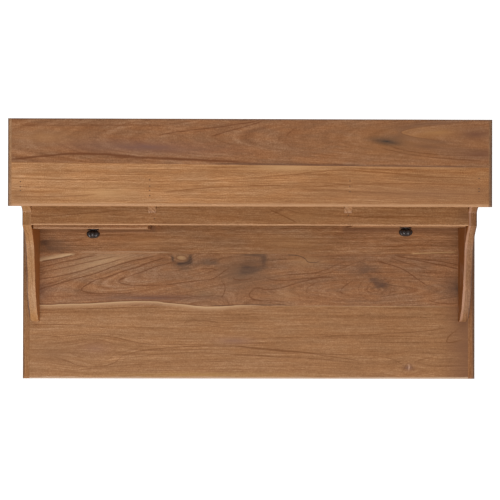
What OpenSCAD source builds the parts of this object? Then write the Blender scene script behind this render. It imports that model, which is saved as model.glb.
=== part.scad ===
// Teak writing desk with a low hutch: planked desktop on four tapered legs, and above
// it two small drawers, an open bay, a shelf and a top board between scrolled sides.
// Front faces -Y, and the origin is on the floor under the middle of the desk.

/* [Desktop] */
// Width of the desktop from end to end
desk_w = 1100; // [980:10:1400]
// Depth of the desktop from front to back
desk_d = 610; // [540:5:720]
// Height of the desktop surface above the floor
desk_h = 770; // [700:5:800]
// Thickness of the desktop
desk_t = 24; // [20:1:32]
// Width of the front plank
front_plank_w = 177; // [150:1:190]
// Width of the plank behind the front one
middle_plank_w = 127; // [100:1:140]
// Width of the plank that runs under the drawers
rear_plank_w = 146; // [130:1:170]
// Width of the cross-grained lipping on each end of the desktop
desk_lip_w = 17; // [14:1:30]
// Radius of the round-over along the edges of the desktop
desk_edge_r = 6; // [2:0.5:9]

/* [Board joints] */
// Thickness of the tongues that hold the lippings
tongue_t = 6; // [4:0.5:8]
// Length of the tongues on the desktop planks
desk_tongue = 8; // [5:0.5:10]
// Length of the tongues on the planks of the hutch's top board
top_tongue = 4; // [3:0.5:6]
// Gap left round glued tongues, tenons and housed edges
glue_gap = 0.2; // [0.1:0.05:0.4]

/* [Legs and aprons] */
// Distance from the desktop's edges to the legs
overhang = 30; // [20:1:45]
// Thickness of a leg at the apron
leg_w = 50; // [44:1:60]
// Thickness of a leg at the floor
leg_foot_w = 32; // [26:1:42]
// Height of an apron
apron_h = 90; // [80:1:120]
// Thickness of an apron
apron_t = 20; // [18:1:24]
// Distance that an apron stands back from the face of the legs
apron_setback = 5; // [3:1:8]
// Thickness of an apron's tenon
tenon_t = 10; // [8:1:12]
// Height of an apron's tenon
tenon_h = 60; // [40:1:70]
// Length of an apron's tenon
tenon_l = 22; // [15:1:24]
// Thickness of the rail that crosses under the middle of the desktop
rail_t = 30; // [24:1:40]
// Height of the rail that crosses under the middle of the desktop
rail_h = 45; // [30:1:60]
// Length of the centre rail's tenons in the aprons
rail_tenon_l = 10; // [8:1:14]
// Distance of the centre rail's tenons from its lower edge
rail_tenon_low = 10; // [8:1:14]
// Distance of the centre rail's tenons from its upper edge, below the groove for the buttons
rail_tenon_high = 18; // [14:1:20]
// Reach of a corner brace along each apron, past the leg
brace_past_leg = 70; // [60:1:95]
// Width of a corner brace's end where it meets an apron
brace_w = 22; // [18:1:30]
// Height of a corner brace
brace_h = 45; // [35:1:60]
// Diameter of a foot glide
glide_d = 22; // [16:1:24]
// Thickness of a foot glide below the leg
glide_t = 4; // [3:0.5:6]
// Length of a foot glide's pin in the leg
glide_pin_l = 12; // [8:1:20]

/* [Desktop fastenings] */
// Length of a tabletop button
button_l = 40; // [30:1:50]
// Width of a tabletop button along its apron
button_w = 26; // [20:1:32]
// Thickness of a tabletop button
button_t = 18; // [16:1:22]
// Reach of a button's tongue into the apron's groove
button_tongue = 7; // [5:1:9]
// Height of a button's tongue
button_tongue_t = 8; // [6:0.5:10]
// Distance from the underside of the desktop to a button's tongue
button_drop = 8; // [6:0.5:9]
// Diameter of the wood screws
screw_d = 4; // [3:0.5:5]
// Diameter of the heads of the wood screws
screw_head_d = 8; // [7:0.5:9]
// Length of the screws that hold the buttons
button_screw_l = 30; // [28:1:32]
// Length of the screws that hold the corner braces
brace_screw_l = 32; // [26:1:34]
// Gap round each screw, nail and dowel
pin_gap = 0.15; // [0.1:0.05:0.3]

/* [Hutch] */
// Height from the desktop surface to the top of the hutch
hutch_h = 220; // [200:5:300]
// Distance from the ends of the desktop to the hutch's sides
side_inset = 21.5; // [12:0.5:30]
// Thickness of the hutch's sides
side_t = 20; // [18:1:24]
// Distance from the back of the desktop to the back of the hutch's sides
hutch_back_inset = 10; // [4:1:20]
// Height of the shelf's upper face above the desktop
shelf_rise = 143; // [130:1:155]
// Thickness of the shelf
shelf_t = 16; // [14:1:20]
// Depth of the shelf, from its front edge to the back panel
shelf_d = 224; // [210:1:260]
// Radius of the eased front edge of the shelf
shelf_edge_r = 3; // [1:0.5:5]
// Depth of the housings that the shelf sits in
housing = 5; // [3:0.5:7]
// Distance from the middle of the hutch to the middle of a divider
divider_x = 227.5; // [190:0.5:240]
// Thickness of a divider
divider_t = 18; // [15:1:20]
// Thickness of the hutch's back panel
back_t = 6; // [4:1:8]
// Depth of the rebates that hold the back panel
back_rebate = 4; // [3:0.5:6]
// Diameter of the dowels that stand the hutch on the desktop
dowel_d = 8; // [6:1:10]
// Depth of a dowel in the desktop
dowel_down = 14; // [10:1:16]
// Depth of a dowel in the side or divider above
dowel_up = 20; // [15:1:30]
// Distance from the shelf's front back to the front dowel of a side or divider
dowel_front = 28; // [20:1:40]
// Distance from the back panel forward to the rear dowel of a side or divider
dowel_rear = 34; // [24:1:44]
// Distance from a side's foot back to its first dowel
dowel_foot = 60; // [50:1:80]

/* [Scrolled sides] */
// Reach of a side's foot in front of the shelf
wing_reach = 230.5; // [215:0.5:240]
// Length of the rounded nose, measured back from the foot
nose_run = 70; // [60:1:80]
// Height of the nose where the long slope starts
nose_rise = 66; // [58:1:74]
// Distance from the foot back to the hollow of the scroll
waist_run = 175; // [165:1:185]
// Height of the hollow of the scroll
waist_rise = 93; // [86:1:100]
// Length of the flat ledge in front of the uprights
ledge = 29; // [24:1:34]
// Distance that an upright's front leans back between the ledge and the top board
upright_lean = 20; // [15:1:30]

/* [Top board] */
// Depth of the hutch's top board
top_d = 199; // [190:1:230]
// Thickness of the hutch's top board
top_t = 20; // [16:1:24]
// Radius of the round-over along the edges of the top board
top_edge_r = 5; // [2:0.5:7]
// Width of the lipping on each end of the top board
top_lip_w = 9; // [8:0.5:20]
// Width of the top board's front plank at its left end
top_joint_left = 99; // [90:1:110]
// Width of the top board's front plank at its right end
top_joint_right = 89; // [80:1:110]
// Diameter of a nail
nail_d = 2.4; // [1.8:0.1:3]
// Length of the nails in the top board
top_nail_l = 38; // [34:1:42]
// Length of the nails in the shelf
shelf_nail_l = 34; // [28:1:40]
// Length of the pins in the back panel
back_pin_l = 16; // [12:1:18]

/* [Drawers] */
// Gap between a drawer front and the bay round it
drawer_gap = 2; // [0.6:0.1:3]
// Gap between a drawer's sides and the desktop that they slide on
run_gap = 0.3; // [0.2:0.05:0.5]
// Distance that a closed drawer front stands ahead of the shelf
drawer_proud = 2; // [0:0.5:4]
// Distance that the left drawer stands open
left_open = 6; // [0:1:30]
// Length of a drawer from front to back
drawer_l = 215; // [190:1:218]
// Thickness of a drawer front
front_t = 18; // [16:1:20]
// Radius of the eased edges of a drawer front
front_edge_r = 2; // [1:0.5:3]
// Thickness of a drawer's sides and back
drawer_side_t = 11; // [9:1:14]
// Height of a drawer's sides
drawer_side_h = 104; // [90:1:112]
// Depth of the rebates in a drawer front that take the sides
front_rebate = 10; // [8:1:12]
// Thickness of a drawer bottom
bottom_t = 5; // [4:0.5:6]
// Height of a drawer bottom above the lower edge of the sides
bottom_rise = 8; // [6:1:12]
// Depth of the grooves that hold a drawer's bottom and back
groove = 4; // [3:0.5:6]
// Distance from a drawer's back to the ends of its sides
back_setback = 5; // [3:1:12]
// Width of a drawer stop
stop_w = 30; // [20:1:40]
// Height of a drawer stop
stop_h = 16; // [12:1:24]

/* [Knobs] */
// Diameter of a knob's head
knob_d = 33; // [26:0.5:38]
// Projection of a knob from the drawer front
knob_l = 22; // [20:0.5:32]
// Number of lobes round a knob's head
knob_lobes = 6; // [5:1:8]
// Depth of the valleys between a knob's lobes
lobe_depth = 3; // [1:0.5:4]
// Turn of the left knob
knob_turn = 38; // [0:1:59]
// Diameter of a knob's neck
neck_d = 10; // [9:0.5:13]
// Diameter of the plate behind a knob
rosette_d = 28; // [22:0.5:34]
// Thickness of the plate behind a knob
rosette_t = 2; // [1.5:0.5:3]
// Radius of the bead round the plate behind a knob
bead_r = 1.2; // [0.8:0.1:1.5]
// Diameter of the screw that holds a knob
knob_screw_d = 4; // [3:0.5:5]
// Diameter of the head of the screw that holds a knob
knob_screw_head_d = 8; // [7:0.5:10]
// Thickness of the head of the screw that holds a knob
knob_screw_head_t = 2.4; // [2:0.2:3]
// Depth of the screw in a knob
knob_screw_grip = 9; // [6:1:11]

/* [Hidden] */
$fn = 48;
SIDES = [[-1, "left"], [1, "right"]];

// Colours of the woods and metals
teak = [0.60, 0.42, 0.28];
light_teak = [0.66, 0.47, 0.31];
dark_teak = [0.54, 0.38, 0.26];
drawer_wood = [0.70, 0.54, 0.38];
iron = [0.10, 0.09, 0.08];
steel = [0.62, 0.62, 0.60];

// Overshoot of the cutting solids past the faces that they open
cut = 1;

// Faces of the desk, as places along X, Y and Z
desk_x = desk_w / 2;
desk_front = -desk_d / 2;
desk_back = desk_d / 2;
desk_under = desk_h - desk_t;
plank_x = desk_x - desk_lip_w;
joint_1 = desk_front + front_plank_w;
joint_2 = joint_1 + middle_plank_w;
joint_3 = joint_2 + rear_plank_w;
tongue_z = desk_h - (desk_t + tongue_t) / 2;

leg_x = desk_x - overhang;
leg_y = desk_d / 2 - overhang;
apron_x = leg_x - apron_setback;
apron_y = leg_y - apron_setback;
apron_in_x = apron_x - apron_t;
apron_in_y = apron_y - apron_t;
apron_low = desk_under - apron_h;
brace_reach = leg_w - apron_setback - apron_t + brace_past_leg;
tenon_low = apron_low + (apron_h - tenon_h) / 2;
tenon_inset = (apron_t - tenon_t) / 2;

// Faces of the hutch
side_x = desk_x - side_inset;
bay_out = side_x - side_t;
bay_in = divider_x + divider_t / 2;
hutch_back = desk_back - hutch_back_inset;
panel_front = hutch_back - back_t;
shelf_top = desk_h + shelf_rise;
shelf_low = shelf_top - shelf_t;
shelf_front = panel_front - shelf_d;
upright_front = shelf_front + ledge;
top_z = desk_h + hutch_h;
top_under = top_z - top_t;
top_back = desk_back;
top_front = top_back - top_d;
top_plank_x = desk_x - top_lip_w;
top_tongue_z = top_under + (top_t - tongue_t) / 2;
wing_foot = shelf_front - wing_reach;

// Faces of a closed drawer
face_y = shelf_front - drawer_proud;
drawer_in = bay_in + drawer_gap;
drawer_out = bay_out - drawer_gap;
front_low = desk_h + drawer_gap;
front_high = shelf_low - drawer_gap;
drawer_back = face_y + drawer_l;
slide_z = desk_h + run_gap;
bottom_z = slide_z + bottom_rise;
knob_x = (drawer_in + drawer_out) / 2;
knob_z = (front_low + front_high) / 2;

// Distances from the top board's front edge to its nails, over each upright
top_nails_at = [
  [-side_x + 7.5, [35, 43, 55]],
  [-divider_x - 1, [24, 36, 45.5, 59.5]],
  [divider_x - 2, [34.5, 46.5, 58.5]],
  [side_x - 9.5, [35.5, 42, 65]]
];
// Nails in the shelf: distance from a divider's middle, and from the shelf's front edge
shelf_nails_at = [[-1, 6, 15], [-1, 0, 150], [1, 1, 24], [1, 0, 150]];
// Heights of the back panel's pins above the desktop
back_pins_at = [20, 75, 120, 185];
// Places along Y of the dowels in the dividers and in the sides
divider_dowels_at = [shelf_front + dowel_front, panel_front - dowel_rear];
side_dowels_at = concat(wing_foot + dowel_foot, divider_dowels_at);

// Points of a cubic curve through p[0] and p[3], pulled by p[1] and p[2]
function curve(p, steps = 12) = [
  for (i = [1:steps])
    let (t = i / steps, u = 1 - t)
      u * u * u * p[0] + 3 * u * u * t * p[1] + 3 * u * t * t * p[2] + t * t * t * p[3]
];

// A curve that leaves p at a slope and arrives at q at another, each held for a share of the run
function sweep(p, q, slope_p, slope_q, hold = 0.35) =
  let (run = (q[0] - p[0]) * hold)
    curve([p, p + [run, run * slope_p], q - [run, run * slope_q], q]);

// Extrudes a YZ outline along X, from x0 to x1
module along_x(x0, x1) {
  translate([x0, 0, 0])
    rotate([90, 0, 90])
      linear_extrude(x1 - x0)
        children();
}

// Extrudes an XZ outline along Y, from y0 to y1
module along_y(y0, y1) {
  translate([0, y1, 0])
    rotate([90, 0, 0])
      linear_extrude(y1 - y0)
        children();
}

// Box given by its lowest and highest corners
module block(low, high) {
  translate(low)
    cube(high - low);
}

// Rectangle from low to high with all four corners rounded to r
module rounded(low, high, r) {
  translate([low[0] + r, low[1]])
    square([high[0] - low[0] - 2 * r, high[1] - low[1]]);
  translate([low[0], low[1] + r])
    square([high[0] - low[0], high[1] - low[1] - 2 * r]);
  for (x = [low[0] + r, high[0] - r], y = [low[1] + r, high[1] - r])
    translate([x, y])
      circle(r);
}

// Flat board with a round-over along all its edges
module eased_board(low, high, r) {
  intersection() {
    along_x(low[0], high[0])
      rounded([low[1], low[2]], [high[1], high[2]], r);
    along_y(low[1], high[1])
      rounded([low[0], low[2]], [high[0], high[2]], r);
  }
}

// Puts its children, drawn on the right, on the side asked for: -1 is left and 1 is right
module on_side(side) {
  mirror([side < 0 ? 1 : 0, 0, 0])
    children();
}

// Puts its children, drawn at the back right, in one of the four corners
module in_corner(side, end) {
  mirror([0, end < 0 ? 1 : 0, 0])
    on_side(side)
      children();
}

// Desktop
module desktop_blank() {
  eased_board([-desk_x, desk_front, desk_under], [desk_x, desk_back, desk_h], desk_edge_r);
}

module desktop_plank(y0, y1, tint) {
  color(tint)
    difference() {
      union() {
        intersection() {
          desktop_blank();
          block([-plank_x, y0, desk_under - cut], [plank_x, y1, desk_h + cut]);
        }
        block([-plank_x - desk_tongue, max(y0, desk_front + desk_edge_r), tongue_z],
              [plank_x + desk_tongue, min(y1, desk_back - desk_edge_r), tongue_z + tongue_t]);
      }
      dowels(pin_gap);
      button_screw_shafts(pin_gap);
    }
}

module desktop_end(side) {
  color(teak)
    on_side(side)
      difference() {
        intersection() {
          desktop_blank();
          block([plank_x, desk_front, desk_under - cut], [desk_x, desk_back, desk_h + cut]);
        }
        block([plank_x - cut, desk_front + desk_edge_r - glue_gap, tongue_z - glue_gap],
              [plank_x + desk_tongue + glue_gap, desk_back - desk_edge_r + glue_gap,
               tongue_z + tongue_t + glue_gap]);
      }
}

// Legs, aprons and what holds the desktop down
module leg_outline(outer) {
  polygon([
    [outer, desk_under], [outer - leg_w, desk_under], [outer - leg_w, apron_low - cut],
    [outer - leg_foot_w, glide_t], [outer, glide_t]
  ]);
}

module leg(side, end) {
  color(teak)
    in_corner(side, end)
      difference() {
        intersection() {
          along_x(leg_x - leg_w, leg_x)
            leg_outline(leg_y);
          along_y(leg_y - leg_w, leg_y)
            leg_outline(leg_x);
        }
        front_tenon(glue_gap);
        side_tenon(glue_gap);
        glide_pin(pin_gap);
      }
}

// Tenon of a front or back apron in the back right leg
module front_tenon(gap) {
  block([leg_x - leg_w - cut, apron_y - apron_t + tenon_inset - gap, tenon_low - gap],
        [leg_x - leg_w + tenon_l + gap, apron_y - tenon_inset + gap, tenon_low + tenon_h + gap]);
}

// Tenon of an end apron in the back right leg
module side_tenon(gap) {
  block([apron_x - apron_t + tenon_inset - gap, leg_y - leg_w - cut, tenon_low - gap],
        [apron_x - tenon_inset + gap, leg_y - leg_w + tenon_l + gap, tenon_low + tenon_h + gap]);
}

// Groove along the inner face of an apron, which the buttons' tongues enter
module button_groove(length) {
  translate([-length / 2, -button_tongue - pin_gap, desk_under - button_drop - button_tongue_t - pin_gap])
    cube([length, button_tongue + pin_gap + cut, button_tongue_t + 2 * pin_gap]);
}

// Front apron when end is -1, back apron when it is 1
module long_apron(end) {
  color(teak)
    mirror([0, end < 0 ? 1 : 0, 0])
      difference() {
        union() {
          block([-leg_x + leg_w, apron_in_y, apron_low], [leg_x - leg_w, apron_y, desk_under]);
          for (side = [-1, 1])
            on_side(side)
              front_tenon(0);
        }
        translate([0, apron_in_y, 0])
          rotate([0, 0, 180])
            button_groove(2 * (leg_x - leg_w));
        rail_tenon(glue_gap);
        brace_screw_shafts(pin_gap);
      }
}

module end_apron(side) {
  color(teak)
    on_side(side)
      difference() {
        union() {
          block([apron_in_x, -leg_y + leg_w, apron_low], [apron_x, leg_y - leg_w, desk_under]);
          side_tenon(0);
          mirror([0, 1, 0])
            side_tenon(0);
        }
        translate([apron_in_x, 0, 0])
          rotate([0, 0, 90])
            button_groove(2 * (leg_y - leg_w));
        brace_screw_shafts(pin_gap);
      }
}

// Tenon of the centre rail in the back apron
module rail_tenon(gap) {
  block([-rail_t / 4 - gap, apron_in_y - cut, desk_under - rail_h + rail_tenon_low - gap],
        [rail_t / 4 + gap, apron_in_y + rail_tenon_l + gap, desk_under - rail_tenon_high + gap]);
}

module centre_rail() {
  color(teak) {
    block([-rail_t / 2, -apron_in_y, desk_under - rail_h], [rail_t / 2, apron_in_y, desk_under]);
    rail_tenon(0);
    mirror([0, 1, 0])
      rail_tenon(0);
  }
}

module brace(side, end) {
  color(dark_teak)
    in_corner(side, end)
      difference() {
        translate([0, 0, apron_low + (apron_h - brace_h) / 2])
          linear_extrude(brace_h)
            polygon([
              [apron_in_x - brace_reach, apron_in_y], [apron_in_x - brace_reach + brace_w, apron_in_y],
              [apron_in_x, apron_in_y - brace_reach + brace_w], [apron_in_x, apron_in_y - brace_reach]
            ]);
        corner_screws(pin_gap);
      }
}

// Wood screw with a countersunk head at the origin, pointing along +X
module wood_screw(length, gap) {
  rotate([0, 90, 0]) {
    cylinder(h = length + gap, d = screw_d + 2 * gap);
    cylinder(h = screw_head_d / 2 + gap, d1 = screw_head_d + 2 * gap, d2 = screw_d + 2 * gap);
  }
}

// Two screws that hold the back right brace, from its inner face into each apron
module corner_screws(gap) {
  brace_z = apron_low + apron_h / 2;
  enter = brace_reach - brace_w / 2;
  back_off = (brace_w + screw_d) / 2;
  translate([apron_in_x - enter, apron_in_y - back_off, brace_z])
    rotate([0, 0, 90])
      wood_screw(brace_screw_l - gap, gap);
  translate([apron_in_x - back_off, apron_in_y - enter, brace_z])
    wood_screw(brace_screw_l - gap, gap);
  if (gap > 0) {
    translate([apron_in_x - enter, apron_in_y - back_off - brace_reach, brace_z])
      rotate([0, 0, 90])
        rotate([0, 90, 0])
          cylinder(h = brace_reach, d = screw_head_d + 2 * gap);
    translate([apron_in_x - back_off - brace_reach, apron_in_y - enter, brace_z])
      rotate([0, 90, 0])
        cylinder(h = brace_reach, d = screw_head_d + 2 * gap);
  }
}

// Brace screws of all four corners
module brace_screw_shafts(gap) {
  for (side = [-1, 1], end = [-1, 1])
    in_corner(side, end)
      corner_screws(gap);
}

module brace_screws() {
  color(steel)
    brace_screw_shafts(0);
}

// Places of the buttons: along the front and back aprons, and one at each end
module at_buttons() {
  spread = (leg_x - leg_w) / 2;
  for (x = [-spread, spread], end = [-1, 1])
    mirror([0, end < 0 ? 1 : 0, 0])
      translate([x, apron_in_y, desk_under])
        children();
  for (side = [-1, 1])
    on_side(side)
      translate([apron_in_x, (joint_1 + joint_2) / 2, desk_under])
        rotate([0, 0, -90])
          children();
}

module button_screw_shafts(gap) {
  at_buttons()
    translate([0, -button_l / 2, -button_t])
      rotate([0, -90, 0])
        wood_screw(button_screw_l, gap);
}

module tabletop_buttons() {
  color(light_teak)
    at_buttons()
      difference() {
        union() {
          block([-button_w / 2, -button_l, -button_t], [button_w / 2, -pin_gap, 0]);
          block([-button_w / 2, -cut, -button_drop - button_tongue_t],
                [button_w / 2, button_tongue - pin_gap, -button_drop]);
        }
        translate([0, -button_l / 2, -button_t])
          rotate([0, -90, 0])
            wood_screw(button_screw_l, pin_gap);
      }
}

module button_screws() {
  color(steel)
    button_screw_shafts(0);
}

module glide_pin(gap) {
  translate([leg_x - leg_foot_w / 2, leg_y - leg_foot_w / 2, glide_t - cut])
    cylinder(h = cut + glide_pin_l + gap, d = glide_t + 2 * gap);
}

module foot_glides() {
  color(iron)
    for (side = [-1, 1], end = [-1, 1])
      in_corner(side, end) {
        translate([leg_x - leg_foot_w / 2, leg_y - leg_foot_w / 2, 0])
          cylinder(h = glide_t, d = glide_d);
        glide_pin(0);
      }
}

// Dowels that stand the sides and dividers on the desktop
module dowels(gap) {
  module dowel(x, y) {
    translate([x, y, desk_h - dowel_down - gap])
      cylinder(h = dowel_down + dowel_up + 2 * gap, d = dowel_d + 2 * gap);
  }
  for (side = [-1, 1]) {
    for (y = side_dowels_at)
      dowel(side * (side_x - side_t / 2), y);
    for (y = divider_dowels_at)
      dowel(side * divider_x, y);
  }
}

module hutch_dowels() {
  color(light_teak)
    dowels(0);
}

// Hutch
// Hollow front edge of an upright, from the top board down to the ledge
function upright_curve() =
  let (rise = top_under - shelf_top)
    curve([[upright_front + upright_lean, top_under],
           [upright_front + upright_lean * 0.9, top_under - rise * 0.6],
           [upright_front + upright_lean * 0.5, shelf_top + rise * 0.05],
           [upright_front, shelf_top]]);

// Side seen from the right: the upright, the ledge, the hollow and the rounded nose
module side_outline() {
  shoulder = [shelf_front, shelf_top];
  waist = [wing_foot + waist_run, desk_h + waist_rise];
  nose = [wing_foot + nose_run, desk_h + nose_rise];
  foot = [wing_foot, desk_h];
  polygon(concat(
    [[hutch_back, desk_h], [hutch_back, top_under], [upright_front + upright_lean, top_under]],
    upright_curve(),
    [shoulder],
    sweep(shoulder, waist, 1.4, 0.42),
    sweep(waist, nose, 0.32, 0.42),
    curve([nose, nose - [nose_run * 0.55, nose_run * 0.24], foot + [0, nose_rise * 0.55], foot])
  ));
}

module hutch_side(side) {
  color(teak)
    on_side(side)
      difference() {
        along_x(bay_out, side_x)
          side_outline();
        block([bay_out - cut, upright_front + upright_lean - glue_gap, shelf_low - glue_gap],
              [bay_out + housing + glue_gap, panel_front + cut, shelf_top + glue_gap]);
        block([bay_out - cut, panel_front, desk_h - cut],
              [bay_out + back_rebate + glue_gap, hutch_back + cut, top_under + cut]);
        hutch_fixings(side);
      }
}

// Holes in the hutch's uprights; the mirrored side takes the nails of its own end
module hutch_fixings(side) {
  dowels(pin_gap);
  mirror([side < 0 ? 1 : 0, 0, 0])
    top_nail_shafts(pin_gap);
  back_pin_shafts(pin_gap);
}

module hutch_shelf() {
  color(teak)
    difference() {
      union() {
        intersection() {
          block([-bay_out, shelf_front, shelf_low], [bay_out, panel_front, shelf_top]);
          along_x(-bay_out, bay_out)
            rounded([shelf_front, shelf_low], [panel_front + shelf_t, shelf_top], shelf_edge_r);
        }
        block([-bay_out - housing, upright_front + upright_lean, shelf_low],
              [bay_out + housing, panel_front, shelf_top]);
      }
      shelf_nail_shafts(pin_gap);
    }
}

module hutch_back_panel() {
  color(dark_teak)
    difference() {
      block([-bay_out - back_rebate, panel_front, desk_h], [bay_out + back_rebate, hutch_back, top_under]);
      back_pin_shafts(pin_gap);
    }
}

module lower_divider(side) {
  color(teak)
    difference() {
      translate([side * divider_x, 0, 0])
        block([-divider_t / 2, shelf_front + drawer_proud, desk_h], [divider_t / 2, panel_front, shelf_low]);
      dowels(pin_gap);
      shelf_nail_shafts(pin_gap);
      back_pin_shafts(pin_gap);
    }
}

module upper_divider(side) {
  color(light_teak)
    difference() {
      translate([side * divider_x, 0, 0])
        along_x(-divider_t / 2, divider_t / 2)
          polygon(concat(
            [[panel_front, shelf_top], [panel_front, top_under], [upright_front + upright_lean, top_under]],
            upright_curve()
          ));
      top_nail_shafts(pin_gap);
      back_pin_shafts(pin_gap);
    }
}

// Top board
module top_blank() {
  eased_board([-desk_x, top_front, top_under], [desk_x, top_back, top_z], top_edge_r);
}

// Plan of the top board's front plank, whose rear edge runs slightly askew
module front_plank_plan(reach) {
  skew = (top_joint_left - top_joint_right) / (2 * desk_x);
  polygon([
    [-reach, top_front], [reach, top_front],
    [reach, top_front + top_joint_right + skew * (desk_x - reach)],
    [-reach, top_front + top_joint_left - skew * (desk_x - reach)]
  ]);
}

module rear_plank_plan(reach) {
  difference() {
    translate([-reach, top_front])
      square([2 * reach, top_d]);
    front_plank_plan(reach);
  }
}

// Plank with its end tongues; the plan is drawn for the reach asked for
module top_plank(tint, front) {
  module plan(reach) {
    if (front)
      front_plank_plan(reach);
    else
      rear_plank_plan(reach);
  }
  color(tint)
    difference() {
      union() {
        intersection() {
          top_blank();
          translate([0, 0, top_under - cut])
            linear_extrude(top_t + 2 * cut)
              plan(top_plank_x);
        }
        intersection() {
          translate([0, 0, top_tongue_z])
            linear_extrude(tongue_t)
              plan(top_plank_x + top_tongue);
          block([-desk_x, top_front + top_edge_r, top_under], [desk_x, top_back - top_edge_r, top_z]);
        }
      }
      top_nail_shafts(pin_gap);
    }
}

module top_end(side) {
  color(teak)
    on_side(side)
      difference() {
        intersection() {
          top_blank();
          block([top_plank_x, top_front, top_under - cut], [desk_x, top_back, top_z + cut]);
        }
        block([top_plank_x - cut, top_front + top_edge_r - glue_gap, top_tongue_z - glue_gap],
              [top_plank_x + top_tongue + glue_gap, top_back - top_edge_r + glue_gap,
               top_tongue_z + tongue_t + glue_gap]);
      }
}

// Nails
module top_nail_shafts(gap) {
  for (row = top_nails_at, y = row[1])
    translate([row[0], top_front + y, top_z - top_nail_l - gap])
      cylinder(h = top_nail_l + gap + (gap > 0 ? cut : 0), d = nail_d + 2 * gap);
}

module shelf_nail_shafts(gap) {
  for (nail = shelf_nails_at)
    translate([nail[0] * divider_x + nail[1], shelf_front + nail[2], shelf_top - shelf_nail_l - gap])
      cylinder(h = shelf_nail_l + gap + (gap > 0 ? cut : 0), d = nail_d + 2 * gap);
}

module back_pin_shafts(gap) {
  module pin(x, z) {
    translate([x, hutch_back + (gap > 0 ? cut : 0), desk_h + z])
      rotate([90, 0, 0])
        cylinder(h = back_pin_l + gap + (gap > 0 ? cut : 0), d = nail_d + 2 * gap);
  }
  for (side = [-1, 1], z = back_pins_at)
    pin(side * divider_x, z);
}

module top_nails() {
  color(iron)
    top_nail_shafts(0);
}

module shelf_nails() {
  color(iron)
    shelf_nail_shafts(0);
}

module back_panel_pins() {
  color(iron)
    back_pin_shafts(0);
}

// Drawers
// Puts a drawer's pieces, drawn closed on the right, where they stand at rest
module drawer_at(side) {
  translate([0, side < 0 ? -left_open : 0, 0])
    on_side(side)
      children();
}

// Space of the two sides in a drawer's front, and of its bottom in all the grooves
module drawer_side_ends(gap) {
  for (x = [drawer_in, drawer_out - drawer_side_t])
    block([x - (x == drawer_in ? cut : gap), face_y + front_t - front_rebate - gap, front_low - cut],
          [x + drawer_side_t + (x == drawer_in ? gap : cut), face_y + front_t + cut,
           slide_z + drawer_side_h + gap]);
}

module drawer_bottom_space(gap) {
  block([drawer_in + drawer_side_t - groove - gap, face_y + front_t - groove - gap, bottom_z - gap],
        [drawer_out - drawer_side_t + groove + gap, drawer_back + (gap > 0 ? cut : -back_setback),
         bottom_z + bottom_t + gap]);
}

module drawer_front(side) {
  color(teak)
    drawer_at(side)
      difference() {
        eased_board([drawer_in, face_y, front_low], [drawer_out, face_y + front_t, front_high],
                    front_edge_r);
        drawer_side_ends(glue_gap);
        drawer_bottom_space(glue_gap);
        knob_screw_shaft(pin_gap);
      }
}

// Side next to the divider when inner is true, next to the hutch's side when it is false
module drawer_side(side, inner) {
  x = inner ? drawer_in : drawer_out - drawer_side_t;
  color(drawer_wood)
    drawer_at(side)
      difference() {
        block([x, face_y + front_t - front_rebate, slide_z], [x + drawer_side_t, drawer_back,
               slide_z + drawer_side_h]);
        drawer_bottom_space(glue_gap);
        drawer_back_space(glue_gap);
      }
}

module drawer_back_space(gap) {
  y = drawer_back - back_setback - drawer_side_t;
  block([drawer_in + drawer_side_t - groove - gap, y - gap, bottom_z + bottom_t + gap],
        [drawer_out - drawer_side_t + groove + gap, y + drawer_side_t + gap,
         slide_z + drawer_side_h + (gap > 0 ? cut : -groove)]);
}

module drawer_back_piece(side) {
  color(drawer_wood)
    drawer_at(side)
      drawer_back_space(0);
}

module drawer_bottom(side) {
  color(drawer_wood)
    drawer_at(side)
      drawer_bottom_space(0);
}

module drawer_stops() {
  color(light_teak)
    for (side = [-1, 1])
      on_side(side)
        for (x = [drawer_in + stop_w, drawer_out - stop_w])
          block([x - stop_w / 2, drawer_back + run_gap, desk_h],
                [x + stop_w / 2, panel_front, desk_h + stop_h]);
}

// Knobs, drawn along +Z from the drawer's face and then turned to the front
module at_knob(side) {
  drawer_at(side)
    translate([knob_x, face_y, knob_z])
      rotate([90, 0, 0])
        children();
}

module knob_screw_shaft(gap) {
  translate([knob_x, face_y, knob_z])
    rotate([90, 0, 0])
      translate([0, 0, -front_t - cut])
        cylinder(h = front_t + 2 * cut, d = knob_screw_d + 2 * gap);
}

module rosette(side) {
  color(iron)
    at_knob(side)
      difference() {
        union() {
          cylinder(h = rosette_t, d = rosette_d);
          rotate_extrude()
            translate([rosette_d / 2 - bead_r, rosette_t])
              circle(bead_r);
        }
        translate([0, 0, -cut])
          cylinder(h = rosette_t + 2 * cut, d = knob_screw_d + 2 * pin_gap);
      }
}

// Plan of a knob's lobes, whose tips reach the head's diameter
module knob_lobe_plan() {
  tip = knob_d / 2;
  valley = tip - lobe_depth;
  lobe_at = (tip * tip - valley * valley) / (2 * (tip - valley * cos(180 / knob_lobes)));
  circle(lobe_at);
  for (i = [0:knob_lobes - 1])
    rotate(i * 360 / knob_lobes)
      translate([lobe_at, 0])
        circle(tip - lobe_at);
}

// Half outline of a knob: foot, neck, flared underside and domed crown
module knob_outline() {
  head_r = knob_d / 2;
  neck_r = neck_d / 2;
  length = knob_l - rosette_t;
  foot = [neck_r + 2, 0];
  collar = [neck_r + 0.5, length * 0.08];
  rim = [head_r, length * 0.5];
  polygon(concat(
    [[0, 0], foot],
    curve([foot, [neck_r - 1, length * 0.02], [neck_r - 1, length * 0.06], collar], 8),
    curve([collar, [head_r * 0.8, length * 0.1], [head_r, length * 0.22], rim], 8),
    curve([rim, [head_r, length * 0.82], [head_r * 0.62, length], [0, length]], 12)
  ));
}

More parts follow.
